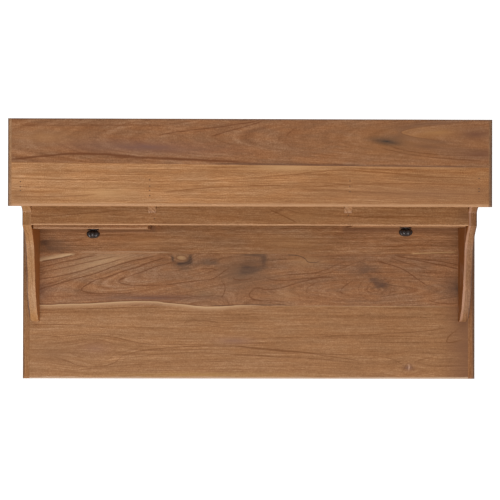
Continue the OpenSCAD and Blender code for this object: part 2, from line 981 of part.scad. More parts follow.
// The knobs stand turned as their screws happened to draw tight
module knob(side) {
  color(iron)
    at_knob(side)
      translate([0, 0, rosette_t])
        difference() {
          intersection() {
            rotate_extrude()
              knob_outline();
            rotate(side < 0 ? knob_turn : 0)
              linear_extrude(knob_l)
                knob_lobe_plan();
          }
          translate([0, 0, -cut])
            cylinder(h = cut + knob_screw_grip + pin_gap, d = knob_screw_d + 2 * pin_gap);
        }
}

module knob_screw(side) {
  color(steel)
    at_knob(side) {
      translate([0, 0, -front_t])
        cylinder(h = front_t + rosette_t + knob_screw_grip, d = knob_screw_d);
      translate([0, 0, -front_t - knob_screw_head_t])
        cylinder(h = knob_screw_head_t, d = knob_screw_head_d);
    }
}

desktop_plank(desk_front, joint_1, light_teak);  // desktop_plank_front
desktop_plank(joint_1, joint_2, dark_teak);  // desktop_plank_middle
desktop_plank(joint_2, joint_3, dark_teak);  // desktop_plank_rear
desktop_plank(joint_3, desk_back, teak);  // desktop_plank_back
for (s = SIDES) {
  desktop_end(s[0]);
  leg(s[0], -1);
  leg(s[0], 1);
  end_apron(s[0]);
  brace(s[0], -1);
  brace(s[0], 1);
  hutch_side(s[0]);
  lower_divider(s[0]);
  upper_divider(s[0]);
  top_end(s[0]);
  drawer_front(s[0]);
  drawer_side(s[0], true);
  drawer_side(s[0], false);
  drawer_back_piece(s[0]);
  drawer_bottom(s[0]);
  rosette(s[0]);
  knob(s[0]);
  knob_screw(s[0]);
}
long_apron(-1);  // apron_front
long_apron(1);  // apron_back
centre_rail();
brace_screws();
tabletop_buttons();
button_screws();
foot_glides();
hutch_shelf();
hutch_back_panel();
hutch_dowels();
top_plank(light_teak, true);  // top_plank_front
top_plank(dark_teak, false);  // top_plank_rear
top_nails();
shelf_nails();
back_panel_pins();
drawer_stops();
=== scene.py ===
import math

import bmesh
import bpy
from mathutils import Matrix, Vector


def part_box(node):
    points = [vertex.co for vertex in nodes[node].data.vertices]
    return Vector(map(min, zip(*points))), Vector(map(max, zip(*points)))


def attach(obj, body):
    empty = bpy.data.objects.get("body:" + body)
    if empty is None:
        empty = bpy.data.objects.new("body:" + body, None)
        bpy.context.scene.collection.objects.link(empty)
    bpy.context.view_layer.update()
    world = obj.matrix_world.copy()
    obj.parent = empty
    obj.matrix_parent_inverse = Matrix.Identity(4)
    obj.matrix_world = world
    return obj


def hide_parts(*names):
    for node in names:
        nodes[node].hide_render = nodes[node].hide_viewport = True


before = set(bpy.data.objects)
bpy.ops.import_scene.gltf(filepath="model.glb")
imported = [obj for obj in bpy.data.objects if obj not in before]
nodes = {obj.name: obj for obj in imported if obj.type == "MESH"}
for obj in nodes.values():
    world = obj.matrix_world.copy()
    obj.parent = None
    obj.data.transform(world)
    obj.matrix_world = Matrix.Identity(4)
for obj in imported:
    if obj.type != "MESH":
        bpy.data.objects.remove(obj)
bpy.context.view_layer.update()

# Camera. The photograph was taken from straight above, 3.24 m over the desktop, with a lens of
# 96 mm on a 36 mm sensor. The camera hung a little left of the desk's middle, not quite level.
desktop_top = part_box("desktop_plank_front")[1].z
camera_over_desktop = 3.242
camera_at = (-0.0369, -0.0072)
camera_turn = (0.00476, -0.01187, 0.00209)

camera_data = bpy.data.cameras.new("camera")
camera_data.sensor_width = 36
camera_data.lens = 96.0
camera_data.clip_end = 50
camera = bpy.data.objects.new("camera", camera_data)
camera.location = (camera_at[0], camera_at[1], desktop_top + camera_over_desktop)
camera.rotation_euler = camera_turn
bpy.context.scene.collection.objects.link(camera)
bpy.context.scene.camera = camera
bpy.context.scene.view_settings.view_transform = "Standard"


# Floor and light. The desk stands on a white studio floor. A wide soft lamp over the sitter's
# side gives most of the light, and the pale room and a weaker lamp behind fill the shadows.
class Wire:
    """A socket of a material. Sums and products of wires, or of wires and numbers, add Math nodes."""

    def __init__(self, tree, socket):
        self.tree = tree
        self.socket = socket

    def node(self, kind, settings=None, inputs=None, out=0):
        """Adds a node of a type, with its settings made first, then the values or links of its sockets."""
        made = self.tree.nodes.new(kind)
        for name, value in (settings or {}).items():
            if name == "stops":
                ramp = made.color_ramp.elements
                while len(ramp) < len(value):
                    ramp.new(1)
                for stop, (place, colour) in zip(ramp, value):
                    stop.position = place
                    stop.color = colour
            elif name == "bends":
                curve = made.mapping.curves[0]
                while len(curve.points) < len(value):
                    curve.points.new(0.5, 0.5)
                for point, place in zip(curve.points, value):
                    point.location = place
                made.mapping.update()
            else:
                setattr(made, name, value)
        for name, value in (inputs or {}).items():
            socket = made.inputs[name]
            if isinstance(value, Wire):
                self.tree.links.new(value.socket, socket)
            else:
                socket.default_value = value
        return Wire(self.tree, made.outputs[out])

    def math(self, operation, *terms, clamp=False):
        """A Math node of the terms, each a wire or a number."""
        settings = {"operation": operation, "use_clamp": clamp}
        return self.node("ShaderNodeMath", settings, dict(enumerate(terms)))

    def __add__(self, other):
        return self.math("ADD", self, other)

    def __radd__(self, other):
        return self.math("ADD", other, self)

    def __sub__(self, other):
        return self.math("SUBTRACT", self, other)

    def __rsub__(self, other):
        return self.math("SUBTRACT", other, self)

    def __mul__(self, other):
        return self.math("MULTIPLY", self, other)

    def __rmul__(self, other):
        return self.math("MULTIPLY", other, self)

    def __truediv__(self, other):
        return self.math("DIVIDE", self, other)

    def __pow__(self, other):
        return self.math("POWER", self, other)

    def __abs__(self):
        return self.math("ABSOLUTE", self)

    def clamped(self):
        return self.math("ADD", self, 0.0, clamp=True)

    def vector(self, operation, *terms):
        """A Vector Math node of this wire and other terms. A length comes out as a number."""
        inputs = dict(enumerate((self,) + terms))
        return self.node("ShaderNodeVectorMath", {"operation": operation}, inputs, operation == "LENGTH")

    def step(self, low, high):
        """Eases from 0 to 1 as this wire goes from low to high."""
        settings = {"interpolation_type": "SMOOTHSTEP"}
        return self.node("ShaderNodeMapRange", settings, {0: self, 1: low, 2: high})

    def split(self):
        """The three parts of a vector wire."""
        outputs = self.node("ShaderNodeSeparateXYZ", {}, {"Vector": self}).socket.node.outputs
        return [Wire(self.tree, outputs[i]) for i in range(3)]

    def join(self, *parts):
        """A vector of three wires or numbers."""
        return self.node("ShaderNodeCombineXYZ", {}, dict(enumerate(parts)))

    def local(self, at, turn=0, size=(1, 1, 1)):
        """This vector seen from a point, in axes turned by degrees about Z and measured in sizes."""
        inputs = {"Vector": self, "Location": tuple(at) + (0,) * (3 - len(at)),
                  "Rotation": (0, 0, math.radians(turn)), "Scale": size}
        return self.node("ShaderNodeMapping", {"vector_type": "TEXTURE"}, inputs)

    def noise(self, scale, detail=2.0, roughness=0.5, shift=0.0, out=0):
        """Noise of a vector wire, with its own scale along each axis."""
        inputs = {"Vector": self, "Scale": scale, "Location": (shift, 0.7 * shift, 1.3 * shift)}
        placed = self.node("ShaderNodeMapping", {}, inputs)
        inputs = {"Vector": placed, "Scale": 1.0, "Detail": detail, "Roughness": roughness}
        return placed.node("ShaderNodeTexNoise", {}, inputs, out)

    def blend(self, other, share, mode="MIX"):
        """This colour with another laid over it, by a share from 0 to 1."""
        inputs = {0: share, 6: self, 7: other}
        settings = {"data_type": "RGBA", "blend_type": mode}
        return self.node("ShaderNodeMix", settings, inputs, out=2)

    def ramp(self, *stops):
        """A colour for each value of this wire, between the stops given as place and colour."""
        return self.node("ShaderNodeValToRGB", {"stops": stops}, {0: self})


def material(name):
    """A new material, its main shader and a wire of each point's place in the desk, in metres."""
    made = bpy.data.materials.new(name)
    made.use_nodes = True
    tree = made.node_tree
    point = tree.nodes.new("ShaderNodeTexCoord")
    return made, tree.nodes["Principled BSDF"], Wire(tree, point.outputs["Object"])


def feed(shader, name, wire):
    wire.tree.links.new(wire.socket, shader.inputs[name])


def rays(tree, *kinds):
    """Wires that are 1 for light rays of each kind, and 0 for the others."""
    path = tree.nodes.new("ShaderNodeLightPath")
    return [Wire(tree, path.outputs[f"Is {kind} Ray"]) for kind in kinds]


floor_reach = 6
floor_mesh = bpy.data.meshes.new("floor")
corners = [(x * floor_reach, y * floor_reach, 0) for x, y in ((-1, -1), (1, -1), (1, 1), (-1, 1))]
floor_mesh.from_pydata(corners, [], [(0, 1, 2, 3)])
floor = bpy.data.objects.new("floor", floor_mesh)
bpy.context.scene.collection.objects.link(floor)
floor_paint, floor_shader = material("floor_paint")[:2]
floor_shader.inputs["Base Color"].default_value = (0.32, 0.32, 0.32, 1)
floor_shader.inputs["Roughness"].default_value = 0.9
floor_shader.inputs["Specular IOR Level"].default_value = 0.0
floor_shader.inputs["Emission Color"].default_value = (1, 1, 1, 1)
floor_glow = 0.95
camera_ray, glossy_ray, clear_ray = rays(floor_paint.node_tree, "Camera", "Glossy", "Transmission")
feed(floor_shader, "Emission Strength", (camera_ray + glossy_ray + clear_ray) * floor_glow)
floor_mesh.materials.append(floor_paint)

world = bpy.data.worlds.new("studio")
world.use_nodes = True
background = world.node_tree.nodes["Background"]
background.inputs["Color"].default_value = (1, 1, 1, 1)
room_light = 0.32
room_gloss = 0.55
camera_ray, glossy_ray = rays(world.node_tree, "Camera", "Glossy")
room = room_light + camera_ray * (1 - room_light) + glossy_ray * (room_gloss - room_light)
feed(background, "Strength", room)
bpy.context.scene.world = world


def lamp(name, at, aim, size, watts):
    data = bpy.data.lights.new(name, "AREA")
    data.shape = "RECTANGLE"
    data.size, data.size_y = size
    data.energy = watts
    made = bpy.data.objects.new(name, data)
    made.location = at
    made.rotation_euler = (Vector(aim) - Vector(at)).to_track_quat("-Z", "Y").to_euler()
    bpy.context.scene.collection.objects.link(made)


lamp("front_lamp", (-0.35, -3.3, 3.9), (0, 0, 0.7), (3.2, 1.6), 164)
lamp("back_lamp", (0.6, 2.9, 4.2), (0, 0, 0.7), (2.4, 1.4), 40)

# Desktop. Teak planks glued edge to edge, planed, sanded and oiled to a low sheen. Every board's
# wood is its own: growth lines follow the depth in the log, which knots and eyes lift or dent.
right_through = 1000  # half size of a mark through a board's thickness, as good as endless


def tone(colour, by=0):
    """A colour of the screen from 0 to 255, by a step lighter or darker, as the shader's own values."""
    return tuple((((channel + by) / 255 + 0.055) / 1.055) ** 2.4 for channel in colour) + (1,)


def spot(board, at, size, turn=0):
    """1 at a point of the board, falling to 0 at the edge of an ellipse of the given half sizes."""
    placed = board.local(at, turn, tuple(size) + (right_through,))
    settings = {"gradient_type": "QUADRATIC_SPHERE"}
    return placed.node("ShaderNodeTexGradient", settings, {"Vector": placed}, out=1)


def stain(board, *places):
    """Stains with ragged edges. Each place has its middle, about twice its half sizes, and its turn."""
    shape = (board.noise((40, 90, 90), 3, 0.65, places[0][0][0] * 40) - 0.5) * 0.9
    for at, size, turn in places:
        shape = shape + spot(board, at, size, turn)
    return shape.step(0.12, 0.85)


def edged(off, dark, soft):
    """A growth line across a wire of distances: sharp on dark's side, fading away on the other."""
    if soft < 0:
        return off.step(soft, 0) * (1 - off.step(0, dark))
    return (1 - off.step(0, soft)) * off.step(-dark, 0)


def stroke(board, places, dark=0.0014, soft=0.003):
    """One growth line through places of the board, in metres, from left to right. It fades in over
    the first 8 hundredths of its run, and out over the last 15."""
    (left, right), (low, high) = ((min(p[i] for p in places), max(p[i] for p in places)) for i in (0, 1))
    high += 0.001  # so that a level line too has a height to measure by
    u, v, w = board.split()
    run = u.node("ShaderNodeMapRange", {}, {0: u, 1: left, 2: right})
    bends = [((x - left) / (right - left), (y - low) / (high - low)) for x, y in places]
    course = run.node("ShaderNodeFloatCurve", {"bends": bends}, {"Value": run})
    off = v - (course * (high - low) + low)
    return edged(off, dark, soft) * run.step(0, 0.08) * (1 - run.step(0.85, 1))


def strokes(board, *lines):
    """Growth lines laid over each other. Each has its strength, its places and any widths."""
    drawn = 0
    for strength, *line in lines:
        drawn = drawn + stroke(board, *line) * strength
    return drawn


def arch(board, tip, turn, spread, reach, dark=0.0014, soft=0.004, arm=0):
    """A pointed growth line that opens from its tip along a direction, both arms of it or one."""
    x, y, z = board.local(tip, turn).split()
    slope = y * (2 / spread)
    off = (x - y * y / spread) / (1 + slope * slope) ** 0.5
    line = edged(off, dark, soft) * (1 - x.step(0.3 * reach, reach))
    return line * (arm * y).step(-0.001, 0.003) if arm else line


def ring(board, centre, size, turn=0, dark=0.0014, soft=0.003):
    """A closed growth line round a knot."""
    away = board.local(centre, turn, tuple(size) + (right_through,)).vector("LENGTH")
    return edged((away - 1) * min(size), dark, soft)


def level(board, tilt=0.0, lean=0.6):
    """Straight grain: the depth in the log rises across the board, along it by the tilt, and into
    its thickness by the lean."""
    u, v, w = board.split()
    return v + u * tilt + w * lean


def bow(board, at, size, by):
    """Growth lines that bow away from a point on both sides of it."""
    rise = (at[0], at[1] + 0.55 * size[1])
    dip = (at[0], at[1] - 0.55 * size[1])
    return (spot(board, dip, size) - spot(board, rise, size)) * by


def cathedral(board, centre, taper, turn=0):
    """Flat-sawn grain: long nested arches round the point where the log's middle comes nearest."""
    return board.local(centre, turn, (1 / taper, 1, 1)).vector("LENGTH")


def bump(shader, height, strength, distance):
    """Raises a shader's surface by a wire of heights."""
    inputs = {"Height": height, "Strength": strength, "Distance": distance}
    feed(shader, "Normal", height.node("ShaderNodeBump", {}, inputs))


def teak(name, seed, colour, field, lines=None, paint=(), along="x",
         contrast=1.0, drift=0.0, mottle=0.6, veins=0.22):
    """Oiled teak. field gives the depth in the log from the board's own axes, lines the growth
    lines that stand out, and paint the colours laid over a board, each with its share and place.
    The board darkens to the right by drift, and mottle and veins say how strongly these show."""
    made, shader, point = material(name)
    x, y, z = point.split()
    board = point.join(*{"x": (x, y, z), "y": (y, x, z), "z": (z, x, y)}[along])
    jitter = board.noise((16, 60, 60), 3, 0.55, seed, out=1).vector("SUBTRACT", (0.5, 0.5, 0.5))
    figure = board.vector("ADD", jitter.vector("MULTIPLY", (0.006, 0.0045, 0)))
    u, v, w = board.split()
    # Layers that follow the log, from wide growth zones to single rings and threads of pores
    depth = field(figure) + (board.noise((1.6, 9, 9), 2, 0.5, seed) - 0.5) * 0.014
    layers = depth.join(depth, u, seed)
    growth = layers.noise((60, 1.4, 1), 2, 0.5, seed)
    rings = layers.noise((290, 2.8, 1), 2, 0.6, 3 * seed)
    threads = layers.noise((460, 8, 1), 1, 0.6, 5 * seed)
    # Layers of the board's own surface: fibres along it, pores, and cloudy colour
    fibre = board.noise((48, 430, 430), 2, 0.6, seed)
    speckle = board.noise((420, 420, 420), 1, 0.5, seed)
    cloud = board.noise((6, 26, 26), 3, 0.55, seed)
    # Dark veins that run along a growth layer and fade in and out
    vein = (1 - abs(layers.noise((130, 1.2, 1), 1, 0.5, 7 * seed) - 0.5) * 16).clamped()
    vein = vein * board.noise((4, 40, 40), 2, 0.5, 4 * seed).step(0.36, 0.62)
    shade = (0.5 + (growth - 0.5) * 0.12 + (rings - 0.5) * 0.42 + (threads - 0.5) * 0.65
             + (fibre - 0.5) * 0.62 + (speckle - 0.5) * 0.7 + (cloud - 0.5) * 0.22 + vein * veins)
    shade = (0.5 + (shade - 0.5) * contrast + u * drift).clamped()
    wood = shade.ramp((0.0, tone(colour, 44)), (0.5, tone(colour)), (1.0, tone(colour, -44)))
    hue = board.noise((12, 60, 60), 4, 0.6, 2 * seed)
    cast = hue.ramp((0.38, (0.90, 0.965, 1.0, 1)), (0.62, (1.0, 0.965, 0.84, 1)))
    wood = wood.blend(cast, mottle, "MULTIPLY")
    # Paints sink into the wood by streaks, so that none of them has an even edge
    streaks = growth * 0.4 + cloud * 0.6 + threads * 0.5 + (hue - 0.5) * 1.2 + 0.25
    for paint_colour, share, place in paint:
        wood = wood.blend(tone(paint_colour), (place(figure) * streaks * share).clamped())
    if lines:
        ink = (lines(figure) * (0.2 + cloud * 0.7 + fibre * 0.8)).clamped()
        wood = wood.blend(tone(colour, -44), ink * 0.8)
    feed(shader, "Base Color", wood)
    feed(shader, "Roughness", 0.46 + shade * 0.12)
    shader.inputs["Specular IOR Level"].default_value = 0.3
    bump(shader, fibre * 0.5 + rings * 0.7 + threads * 0.4, 0.25, 0.0004)
    return made


def dress(made, *names):
    """Gives CAD nodes a material."""
    for name in names:
        nodes[name].data.materials.clear()
        nodes[name].data.materials.append(made)


def painted_edge_highlight(board, name, reach):
    """The upper front edge of a board, with a highlight painted as far back as the reach."""
    low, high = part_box(name)
    edge = low.y + reach
    u, v, w = board.split()
    return (1 - v.step(edge - 0.001, edge + 0.001)) * w.step(high.z - 0.010, high.z - 0.004)


# Front plank. The plainest of the boards: straight grain that bows round a long eye on the left
# and a small knot on the right. Pale sapwood wanders along its joint with the middle plank.
front_teak = (155, 108, 69)
cream = (212, 176, 134)
sap_line = ((-0.56, -0.1262), (-0.5065, -0.1256), (-0.46, -0.1244), (-0.387, -0.1219), (-0.351, -0.1195),
            (-0.298, -0.1171), (-0.242, -0.1159), (-0.205, -0.1195), (-0.157, -0.1244), (-0.120, -0.1287),
            (-0.084, -0.1304), (-0.047, -0.1275), (-0.011, -0.1256), (0.05, -0.1292))
sap_end = ((0.0, -0.1290), (0.09, -0.1280), (0.29, -0.1285), (0.505, -0.1300))
sapwood = (
    ((182, 140, 102), 1.0, lambda b: stroke(b, sap_line, 0.0012, -0.013)),
    (cream, 0.5, lambda b: stroke(b, sap_line, 0.0010, -0.005)),
    (cream, 0.25, lambda b: stroke(b, sap_end, 0.0016, 0.002)),
)


def front_field(board):
    """Straight grain that bows round an eye on the left and a knot on the right."""
    return (level(board, 0.006)
            + bow(board, (-0.372, -0.240), (0.17, 0.055), 0.020)
            + bow(board, (0.388, -0.278), (0.09, 0.035), 0.016)
            + bow(board, (0.50, -0.213), (0.06, 0.02), 0.008)
            - spot(board, (-0.12, -0.170), (0.05, 0.035)) * 0.007
            + spot(board, (-0.2, -0.262), (0.3, 0.04)) * 0.012)


def front_lines(board):
    """Lines round the eye, lines left and right of it, and those that bend round the knot."""
    eye = strokes(
        board,
        (1.0, ((-0.46, -0.211), (-0.41, -0.1985), (-0.34, -0.2030), (-0.27, -0.2180), (-0.22, -0.2230))),
        (1.1, ((-0.50, -0.240), (-0.44, -0.262), (-0.375, -0.276), (-0.302, -0.247), (-0.2, -0.230),
               (-0.071, -0.2252), (0.026, -0.233), (0.196, -0.245), (0.342, -0.248))),
        (0.7, ((-0.44, -0.235), (-0.40, -0.256), (-0.36, -0.262), (-0.32, -0.243), (-0.25, -0.230))),
        (0.7, ((-0.33, -0.272), (-0.254, -0.2496), (-0.152, -0.2423), (0.0, -0.2471), (0.07, -0.2520))),
        (0.6, ((-0.44, -0.2884), (-0.278, -0.2714), (-0.132, -0.2641), (0.05, -0.2666))))
    eye = eye + ring(board, (-0.375, -0.2350), (0.05, 0.016), 8) * 0.3
    left = strokes(
        board,
        (0.6, ((-0.534, -0.1985), (-0.495, -0.2000), (-0.448, -0.2105))),
        (0.7, ((-0.535, -0.174), (-0.38, -0.178), (-0.33, -0.189))),
        (0.9, ((-0.52, -0.1400), (-0.46, -0.1377), (-0.363, -0.1353), (-0.298, -0.1317), (-0.242, -0.1317),
               (-0.19, -0.1350))),
        (0.7, ((-0.16, -0.170), (-0.12, -0.1645), (-0.07, -0.171))),
        (0.5, ((-0.18, -0.182), (-0.12, -0.176), (-0.05, -0.182), (0.10, -0.183))))
    right = strokes(
        board,
        (0.9, ((0.16, -0.203), (0.32, -0.196), (0.42, -0.189), (0.50, -0.1740))),
        (0.7, ((0.0, -0.2086), (0.06, -0.2068), (0.13, -0.2056))),
        (0.9, ((-0.04, -0.2260), (0.0744, -0.2350), (0.1717, -0.2471), (0.29, -0.2640))),
        (0.8, ((-0.04, -0.2466), (0.1230, -0.2544), (0.29, -0.2690))),
        (0.7, ((0.30, -0.2480), (0.3661, -0.2660), (0.3807, -0.2900))),
        (0.7, ((0.3990, -0.2700), (0.4100, -0.2610), (0.4500, -0.2530))))
    right = right + arch(board, (0.480, -0.2131), 26, 0.006, 0.05)
    right = right + arch(board, (0.388, -0.2660), -90, 0.010, 0.03) * 0.7
    return eye * 0.75 + left + right


front_plank = teak("front_plank_teak", 3.1, front_teak, front_field, front_lines, (
    # Greyer wood in the eye and in the plank's middle
    ((140, 98, 80), 0.5, lambda b: spot(b, (-0.375, -0.232), (0.08, 0.03))),
    ((138, 98, 80), 0.7, lambda b: spot(b, (-0.035, -0.2131), (0.09, 0.02))),
    # The knot, with a pale streak through it
    ((120, 84, 70), 1.0, lambda b: spot(b, (0.388, -0.2763), (0.024, 0.014))),
    ((204, 160, 130), 1.0, lambda b: spot(b, (0.389, -0.2763), (0.004, 0.014))),
    # Golden wood near the front, browner wood at both ends, and a highlight painted on the front edge
    ((176, 134, 76), 0.6, lambda b: spot(b, (-0.1, -0.296), (0.5, 0.012))),
    ((132, 90, 58), 0.6, lambda b: spot(b, (-0.47, -0.245), (0.14, 0.06))),
    ((122, 80, 52), 0.9, lambda b: b.split()[0].step(0.45, 0.54)),
    ((178, 146, 119), 0.9, lambda b: painted_edge_highlight(b, "desktop_plank_front", 0.0047)),
) + sapwood, contrast=0.8, drift=0.12, mottle=0.4, veins=0.25)
dress(front_plank, "desktop_plank_front")

# Middle plank. Reddish flat-sawn teak with the desk's liveliest figure: an eye by the rear joint,
# smoky burl and a crack right of it, a knot further right, and long tongues of growth lines.
middle_teak = (152, 104, 70)


def middle_field(board):
    """Arches that rise to the right on the left half, and run round a knot on the right half."""
    turn_over = board.split()[0].step(-0.13, 0.02)
    left = cathedral(board, (-0.15, -0.031, 0.758), 0.13, 12.5) + 0.06
    knot = spot(board, (0.308, -0.085), (0.06, 0.04)) * 0.012
    right = 0.17 - cathedral(board, (0.305, -0.089, 0.758), 0.13) + knot
    return left + (right - left) * turn_over + spot(board, (-0.166, -0.012), (0.05, 0.035)) * 0.03


def middle_lines(board):
    """Lines from left to right: diagonals, nested tongues, short ones under the burl, a wave, the
    fan behind the knot, the knot's rings, and the dark side of the sapwood."""
    diagonals = strokes(
        board,
        (1.4, ((-0.504, -0.0210), (-0.46, -0.0130), (-0.424, -0.0035)), 0.002, 0.003),
        (0.8, ((-0.52, -0.0395), (-0.424, -0.0162), (-0.361, -0.0040))),
        (0.7, ((-0.52, -0.0510), (-0.4385, -0.0332), (-0.3655, -0.0162), (-0.31, -0.0045))),
        (0.9, ((-0.52, -0.0660), (-0.424, -0.0478), (-0.3655, -0.0308), (-0.29, -0.0090))),
        (0.6, ((-0.51, -0.0810), (-0.46, -0.0660), (-0.4336, -0.0575))),
        (1.2, ((-0.52, -0.0930), (-0.448, -0.0697), (-0.3753, -0.0502), (-0.3169, -0.0283),
               (-0.2586, -0.0138), (-0.22, -0.006))))
    tongues = strokes(
        board,
        (1.0, ((-0.405, -0.0860), (-0.385, -0.0721), (-0.3364, -0.0551), (-0.2780, -0.0356),
               (-0.2294, -0.0186), (-0.19, -0.0070))),
        (0.7, ((-0.405, -0.0940), (-0.385, -0.0988), (-0.3364, -0.0988), (-0.27, -0.1010))),
        (0.9, ((-0.315, -0.0670), (-0.2975, -0.0585), (-0.2586, -0.0454), (-0.2197, -0.0308),
               (-0.18, -0.0220))),
        (1.0, ((-0.315, -0.0720), (-0.2975, -0.0770), (-0.2586, -0.0784), (-0.2051, -0.0770),
               (-0.1662, -0.0719), (-0.1081, -0.0648), (-0.0889, -0.0612), (-0.0656, -0.0476),
               (-0.0300, -0.0200))),
        (0.7, ((-0.2230, -0.0520), (-0.2050, -0.0560), (-0.1800, -0.0560))),
        (0.5, ((-0.50, -0.106), (-0.35, -0.104), (-0.20, -0.107), (-0.10, -0.114))),
        (0.6, ((-0.157, -0.0950), (-0.1176, -0.1061), (-0.078, -0.0950))))
    tongues = tongues + arch(board, (-0.4072, -0.0893), 12, 0.007, 0.04)
    tongues = tongues + arch(board, (-0.3172, -0.0697), 10, 0.006, 0.03)
    tongues = tongues + arch(board, (-0.0590, -0.0873), 180, 0.05, 0.012, 0.002, 0.002)
    middle = strokes(
        board,
        (0.9, ((-0.0410, -0.0560), (-0.0204, -0.0648), (0.0100, -0.0560))),
        (1.2, ((-0.118, -0.0385), (-0.0964, -0.0378), (-0.0790, -0.0408)), 0.002, 0.002),
        (1.0, ((-0.0980, -0.0190), (-0.0811, -0.0140), (-0.0760, -0.0130)), 0.002, 0.002),
        (1.1, ((0.0010, -0.0950), (0.0055, -0.0895), (0.0185, -0.0843), (0.0404, -0.0881), (0.0744, -0.0843),
               (0.1182, -0.0721), (0.20, -0.0510))),
        (0.9, ((0.0020, -0.1070), (0.0161, -0.1134), (0.0404, -0.1149), (0.09, -0.1163))))
    middle = middle + ring(board, (-0.165, -0.0110), (0.013, 0.006)) * 0.7
    middle = middle + arch(board, (-0.0010, -0.1025), 10, 0.010, 0.02)
    wave = strokes(
        board,
        (1.1, ((0.037, -0.0500), (0.0574, -0.0648), (0.0890, -0.0663), (0.1376, -0.0614), (0.22, -0.0570))),
        (0.8, ((0.0830, -0.0502), (0.1376, -0.0502), (0.1863, -0.0390), (0.2106, -0.0283), (0.25, -0.0150))),
        (0.7, ((0.16, -0.0570), (0.20, -0.0440), (0.245, -0.0280), (0.30, -0.0080))))
    wave = wave + arch(board, (0.1376, -0.0916), 10, 0.010, 0.05) * 0.6
    wave = wave + arch(board, (0.2227, -0.0930), 14, 0.012, 0.05) * 0.8
    fan = strokes(
        board,
        (1.0, ((0.31, -0.0190), (0.3661, -0.0356), (0.4002, -0.0551), (0.4245, -0.0721), (0.4400, -0.0800))),
        (0.7, ((0.34, -0.0090), (0.3904, -0.0259), (0.44, -0.0400))),
        (0.9, ((0.35, -0.0040), (0.4002, -0.0138), (0.4439, -0.0235), (0.52, -0.0380))),
        (0.9, ((0.39, -0.0095), (0.4439, -0.0162), (0.52, -0.0290))),
        (0.8, ((0.4340, -0.0990), (0.4439, -0.1159), (0.5100, -0.1230))))
    knot = ring(board, (0.3054, -0.0850), (0.038, 0.031)) * 0.4
    knot = knot + ring(board, (0.31, -0.083), (0.022, 0.017), 10) * 0.3
    sap = stroke(board, sap_line, 0.001, 0.004)
    return diagonals * 1.2 + tongues * 1.1 + middle + wave + fan * 1.4 + knot + sap


def burl(board):
    """Smoky wood between the eye and the crack, with a sharper edge on its right."""
    u, v, w = board.split()
    smudge = stain(board, ((0.037, -0.0150), (0.020, 0.040), 0), ((0.012, -0.0400), (0.050, 0.020), 15),
                   ((-0.0107, -0.0390), (0.034, 0.026), 0), ((0.018, -0.0040), (0.070, 0.012), 0))
    smudge = smudge + spot(board, (0.012, -0.022), (0.080, 0.050)) * 0.5
    return smudge * (1 - (u + v * 0.4).step(0.033, 0.047))


def eye_smoke(board):
    return stain(board, ((-0.159, -0.030), (0.055, 0.036), 0), ((-0.100, -0.020), (0.060, 0.030), 0))


def eye_rim(board):
    return stain(board, ((-0.1440, -0.0125), (0.018, 0.024), 0), ((-0.162, -0.0250), (0.050, 0.012), 4),
                 ((-0.187, -0.0135), (0.012, 0.022), 0))


def knot_smoke(board):
    return stain(board, ((0.3236, -0.0760), (0.050, 0.026), 14), ((0.302, -0.064), (0.03, 0.016), 0))


def right_end_smoke(board):
    patch = stain(board, ((0.285, -0.0376), (0.080, 0.032), 6))
    return patch + spot(board, (0.51, -0.085), (0.08, 0.055)) * 1.6


crack = ((0.0900, -0.0026), (0.1201, -0.0056), (0.1352, -0.0130), (0.1474, -0.0209), (0.1760, -0.0180))
cream_wedge = ((-0.535, -0.0240), (-0.46, -0.0125), (-0.418, -0.0020))
joint_dirt = ((-0.10, -0.1285), (-0.047, -0.1262), (0.02, -0.1250), (0.11, -0.1268))
middle_plank = teak("middle_plank_teak", 7.7, middle_teak, middle_field, middle_lines, (
    # Paler wood on the left, browner wood round the middle
    (cream, 0.5, lambda b: spot(b, (-0.36, -0.020), (0.18, 0.045), 14)),
    ((118, 86, 62), 0.8, lambda b: spot(b, (-0.02, -0.05), (0.13, 0.08))),
    # The eye and the burl
    ((96, 72, 56), 0.6, eye_smoke),
    ((60, 40, 30), 0.75, eye_rim),
    ((178, 136, 94), 1.4, lambda b: spot(b, (-0.1662, -0.0105), (0.026, 0.0135))),
    ((84, 60, 46), 0.55, burl),
    # Patches in front of the burl and to its right, and the crack
    ((126, 98, 70), 0.5, lambda b: spot(b, (-0.11, -0.100), (0.07, 0.03))),
    ((188, 140, 94), 0.5, lambda b: (spot(b, (0.14, -0.020), (0.09, 0.030))
                                     + spot(b, (0.09, -0.100), (0.06, 0.03)) * 0.6)),
    ((84, 54, 36), 0.9, lambda b: stroke(b, crack, 0.0020, 0.0015)),
    # Smoke round the knot and at the right end
    ((98, 68, 50), 0.7, right_end_smoke),
    ((82, 56, 42), 0.7, knot_smoke),
    # A pale wedge in the rear corner, and darker wood along the front joint
    (cream, 0.8, lambda b: stroke(b, cream_wedge, 0.0010, 0.016)),
    ((112, 78, 64), 0.8, lambda b: (spot(b, (-0.25, -0.108), (0.3, 0.016))
                                    + spot(b, (-0.52, -0.09), (0.08, 0.05)))),
    ((64, 42, 30), 0.9, lambda b: stroke(b, joint_dirt, 0.0012, 0.0016)),
) + sapwood, drift=0.16, mottle=1.0, veins=0.12)
dress(middle_plank, "desktop_plank_middle")

# Rear and back planks. Straight-grained teak, the rear one half under the drawers and smoky near
# its left end, the back one hidden by the hutch.
rear_teak = (155, 106, 68)


def painted_shade_under_drawers(board):
    """1 at the foot of the drawers' fronts, where their shade is painted."""
    u, v, w = board.split()
    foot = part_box("drawer_left_front")[0].y
    inner_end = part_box("drawer_right_front")[0].x
    return v.step(foot - 0.011, foot - 0.001) * abs(u).step(inner_end - 0.0165, inner_end - 0.0065)


